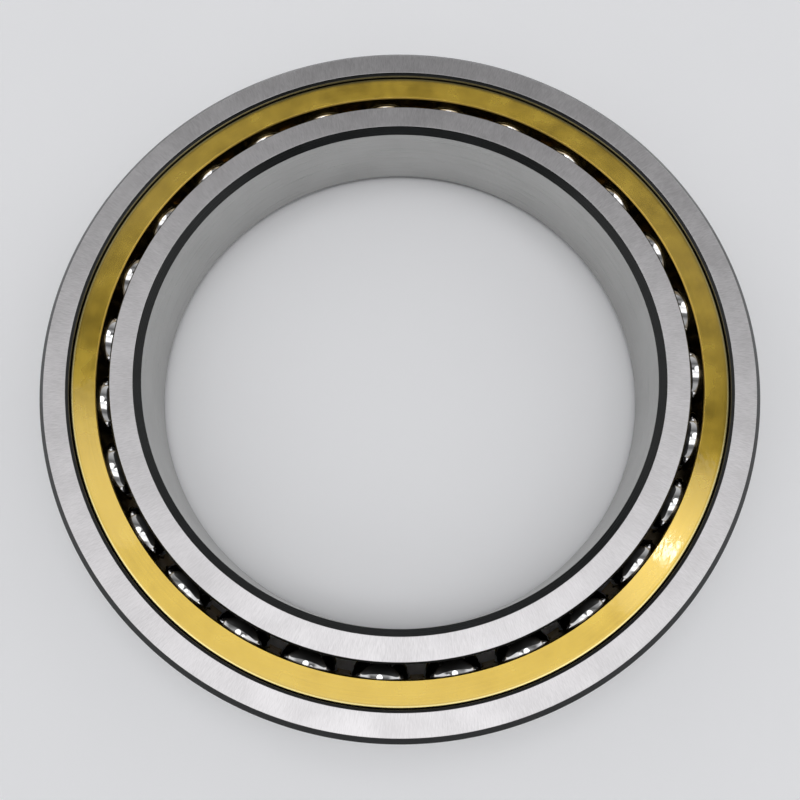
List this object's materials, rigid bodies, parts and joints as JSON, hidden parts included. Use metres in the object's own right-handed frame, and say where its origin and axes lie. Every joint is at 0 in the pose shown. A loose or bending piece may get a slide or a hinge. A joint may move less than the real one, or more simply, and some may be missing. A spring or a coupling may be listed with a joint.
{
  "type": "angular contact ball bearing",
  "caption": "Open single row angular contact ball bearing with steel rings, a ring of steel balls and a one-piece machined brass cage.",
  "frame": {"origin": "on the bearing axis, in the plane of the lower ring faces", "axes": "+Z along the bearing axis, towards the outer ring's high shoulder; +X through the centre of ball_01"},
  "size_m": [0.25, 0.25, 0.033],
  "materials": {
    "outer_ring_steel": "ground faces, black chamfers",
    "inner_ring_steel": "ground faces, black chamfers",
    "cage_brass": "turned",
    "ball_steel": "mirror polish"
  },
  "bodies": {
    "outer_ring": {"outer_ring": "outer_ring_steel"},
    "inner_ring": {"inner_ring": "inner_ring_steel"},
    "cage": {"cage": "cage_brass"},
    "ball_01": {"ball_01": "ball_steel"},
    "ball_02": {"ball_02": "ball_steel"},
    "ball_03": {"ball_03": "ball_steel"},
    "ball_04": {"ball_04": "ball_steel"},
    "ball_05": {"ball_05": "ball_steel"},
    "ball_06": {"ball_06": "ball_steel"},
    "ball_07": {"ball_07": "ball_steel"},
    "ball_08": {"ball_08": "ball_steel"},
    "ball_09": {"ball_09": "ball_steel"},
    "ball_10": {"ball_10": "ball_steel"},
    "ball_11": {"ball_11": "ball_steel"},
    "ball_12": {"ball_12": "ball_steel"},
    "ball_13": {"ball_13": "ball_steel"},
    "ball_14": {"ball_14": "ball_steel"},
    "ball_15": {"ball_15": "ball_steel"},
    "ball_16": {"ball_16": "ball_steel"},
    "ball_17": {"ball_17": "ball_steel"},
    "ball_18": {"ball_18": "ball_steel"},
    "ball_19": {"ball_19": "ball_steel"},
    "ball_20": {"ball_20": "ball_steel"},
    "ball_21": {"ball_21": "ball_steel"},
    "ball_22": {"ball_22": "ball_steel"},
    "ball_23": {"ball_23": "ball_steel"},
    "ball_24": {"ball_24": "ball_steel"},
    "ball_25": {"ball_25": "ball_steel"},
    "ball_26": {"ball_26": "ball_steel"},
    "ball_27": {"ball_27": "ball_steel"}
  },
  "joints": [
    {"name": "inner_ring_spin", "type": "hinge", "parent": "outer_ring", "child": "inner_ring", "pos_m": [0, 0, 0.0165], "axis": [0, 0, 1], "continuous": true},
    {"name": "cage_spin", "type": "hinge", "parent": "outer_ring", "child": "cage", "pos_m": [0, 0, 0.0165], "axis": [0, 0, 1], "continuous": true},
    {"name": "ball_01_spin", "type": "hinge", "parent": "cage", "child": "ball_01", "pos_m": [0.1075, 0, 0.0165], "axis": [-0.4226, 0, 0.9063], "continuous": true},
    {"name": "ball_02_spin", "type": "hinge", "parent": "cage", "child": "ball_02", "pos_m": [0.1046, 0.02479, 0.0165], "axis": [-0.4112, -0.0975, 0.9063], "continuous": true},
    {"name": "ball_03_spin", "type": "hinge", "parent": "cage", "child": "ball_03", "pos_m": [0.09607, 0.04825, 0.0165], "axis": [-0.3777, -0.1897, 0.9063], "continuous": true},
    {"name": "ball_04_spin", "type": "hinge", "parent": "cage", "child": "ball_04", "pos_m": [0.08235, 0.0691, 0.0165], "axis": [-0.3237, -0.2717, 0.9063], "continuous": true},
    {"name": "ball_05_spin", "type": "hinge", "parent": "cage", "child": "ball_05", "pos_m": [0.06419, 0.08623, 0.0165], "axis": [-0.2524, -0.339, 0.9063], "continuous": true},
    {"name": "ball_06_spin", "type": "hinge", "parent": "cage", "child": "ball_06", "pos_m": [0.04258, 0.09871, 0.0165], "axis": [-0.1674, -0.3881, 0.9063], "continuous": true},
    {"name": "ball_07_spin", "type": "hinge", "parent": "cage", "child": "ball_07", "pos_m": [0.01867, 0.10587, 0.0165], "axis": [-0.0734, -0.4162, 0.9063], "continuous": true},
    {"name": "ball_08_spin", "type": "hinge", "parent": "cage", "child": "ball_08", "pos_m": [-0.00625, 0.10732, 0.0165], "axis": [0.0246, -0.4219, 0.9063], "continuous": true},
    {"name": "ball_09_spin", "type": "hinge", "parent": "cage", "child": "ball_09", "pos_m": [-0.03083, 0.10298, 0.0165], "axis": [0.1212, -0.4049, 0.9063], "continuous": true},
    {"name": "ball_10_spin", "type": "hinge", "parent": "cage", "child": "ball_10", "pos_m": [-0.05375, 0.0931, 0.0165], "axis": [0.2113, -0.366, 0.9063], "continuous": true},
    {"name": "ball_11_spin", "type": "hinge", "parent": "cage", "child": "ball_11", "pos_m": [-0.07377, 0.07819, 0.0165], "axis": [0.29, -0.3074, 0.9063], "continuous": true},
    {"name": "ball_12_spin", "type": "hinge", "parent": "cage", "child": "ball_12", "pos_m": [-0.08981, 0.05907, 0.0165], "axis": [0.3531, -0.2322, 0.9063], "continuous": true},
    {"name": "ball_13_spin", "type": "hinge", "parent": "cage", "child": "ball_13", "pos_m": [-0.10102, 0.03677, 0.0165], "axis": [0.3971, -0.1445, 0.9063], "continuous": true},
    {"name": "ball_14_spin", "type": "hinge", "parent": "cage", "child": "ball_14", "pos_m": [-0.10677, 0.01248, 0.0165], "axis": [0.4198, -0.0491, 0.9063], "continuous": true},
    {"name": "ball_15_spin", "type": "hinge", "parent": "cage", "child": "ball_15", "pos_m": [-0.10677, -0.01248, 0.0165], "axis": [0.4198, 0.0491, 0.9063], "continuous": true},
    {"name": "ball_16_spin", "type": "hinge", "parent": "cage", "child": "ball_16", "pos_m": [-0.10102, -0.03677, 0.0165], "axis": [0.3971, 0.1445, 0.9063], "continuous": true},
    {"name": "ball_17_spin", "type": "hinge", "parent": "cage", "child": "ball_17", "pos_m": [-0.08981, -0.05907, 0.0165], "axis": [0.3531, 0.2322, 0.9063], "continuous": true},
    {"name": "ball_18_spin", "type": "hinge", "parent": "cage", "child": "ball_18", "pos_m": [-0.07377, -0.07819, 0.0165], "axis": [0.29, 0.3074, 0.9063], "continuous": true},
    {"name": "ball_19_spin", "type": "hinge", "parent": "cage", "child": "ball_19", "pos_m": [-0.05375, -0.0931, 0.0165], "axis": [0.2113, 0.366, 0.9063], "continuous": true},
    {"name": "ball_20_spin", "type": "hinge", "parent": "cage", "child": "ball_20", "pos_m": [-0.03083, -0.10298, 0.0165], "axis": [0.1212, 0.4049, 0.9063], "continuous": true},
    {"name": "ball_21_spin", "type": "hinge", "parent": "cage", "child": "ball_21", "pos_m": [-0.00625, -0.10732, 0.0165], "axis": [0.0246, 0.4219, 0.9063], "continuous": true},
    {"name": "ball_22_spin", "type": "hinge", "parent": "cage", "child": "ball_22", "pos_m": [0.01867, -0.10587, 0.0165], "axis": [-0.0734, 0.4162, 0.9063], "continuous": true},
    {"name": "ball_23_spin", "type": "hinge", "parent": "cage", "child": "ball_23", "pos_m": [0.04258, -0.09871, 0.0165], "axis": [-0.1674, 0.3881, 0.9063], "continuous": true},
    {"name": "ball_24_spin", "type": "hinge", "parent": "cage", "child": "ball_24", "pos_m": [0.06419, -0.08623, 0.0165], "axis": [-0.2524, 0.339, 0.9063], "continuous": true},
    {"name": "ball_25_spin", "type": "hinge", "parent": "cage", "child": "ball_25", "pos_m": [0.08235, -0.0691, 0.0165], "axis": [-0.3237, 0.2717, 0.9063], "continuous": true},
    {"name": "ball_26_spin", "type": "hinge", "parent": "cage", "child": "ball_26", "pos_m": [0.09607, -0.04825, 0.0165], "axis": [-0.3777, 0.1897, 0.9063], "continuous": true},
    {"name": "ball_27_spin", "type": "hinge", "parent": "cage", "child": "ball_27", "pos_m": [0.1046, -0.02479, 0.0165], "axis": [-0.4112, 0.0975, 0.9063], "continuous": true}
  ],
  "couplings": [
    {"joint": "cage_spin", "follows": "inner_ring_spin", "ratio": 0.4565},
    {"joint": "ball_01_spin", "follows": "inner_ring_spin", "ratio": -5.1694},
    {"joint": "ball_02_spin", "follows": "inner_ring_spin", "ratio": -5.1694},
    {"joint": "ball_03_spin", "follows": "inner_ring_spin", "ratio": -5.1694},
    {"joint": "ball_04_spin", "follows": "inner_ring_spin", "ratio": -5.1694},
    {"joint": "ball_05_spin", "follows": "inner_ring_spin", "ratio": -5.1694},
    {"joint": "ball_06_spin", "follows": "inner_ring_spin", "ratio": -5.1694},
    {"joint": "ball_07_spin", "follows": "inner_ring_spin", "ratio": -5.1694},
    {"joint": "ball_08_spin", "follows": "inner_ring_spin", "ratio": -5.1694},
    {"joint": "ball_09_spin", "follows": "inner_ring_spin", "ratio": -5.1694},
    {"joint": "ball_10_spin", "follows": "inner_ring_spin", "ratio": -5.1694},
    {"joint": "ball_11_spin", "follows": "inner_ring_spin", "ratio": -5.1694},
    {"joint": "ball_12_spin", "follows": "inner_ring_spin", "ratio": -5.1694},
    {"joint": "ball_13_spin", "follows": "inner_ring_spin", "ratio": -5.1694},
    {"joint": "ball_14_spin", "follows": "inner_ring_spin", "ratio": -5.1694},
    {"joint": "ball_15_spin", "follows": "inner_ring_spin", "ratio": -5.1694},
    {"joint": "ball_16_spin", "follows": "inner_ring_spin", "ratio": -5.1694},
    {"joint": "ball_17_spin", "follows": "inner_ring_spin", "ratio": -5.1694},
    {"joint": "ball_18_spin", "follows": "inner_ring_spin", "ratio": -5.1694},
    {"joint": "ball_19_spin", "follows": "inner_ring_spin", "ratio": -5.1694},
    {"joint": "ball_20_spin", "follows": "inner_ring_spin", "ratio": -5.1694},
    {"joint": "ball_21_spin", "follows": "inner_ring_spin", "ratio": -5.1694},
    {"joint": "ball_22_spin", "follows": "inner_ring_spin", "ratio": -5.1694},
    {"joint": "ball_23_spin", "follows": "inner_ring_spin", "ratio": -5.1694},
    {"joint": "ball_24_spin", "follows": "inner_ring_spin", "ratio": -5.1694},
    {"joint": "ball_25_spin", "follows": "inner_ring_spin", "ratio": -5.1694},
    {"joint": "ball_26_spin", "follows": "inner_ring_spin", "ratio": -5.1694},
    {"joint": "ball_27_spin", "follows": "inner_ring_spin", "ratio": -5.1694}
  ]
}
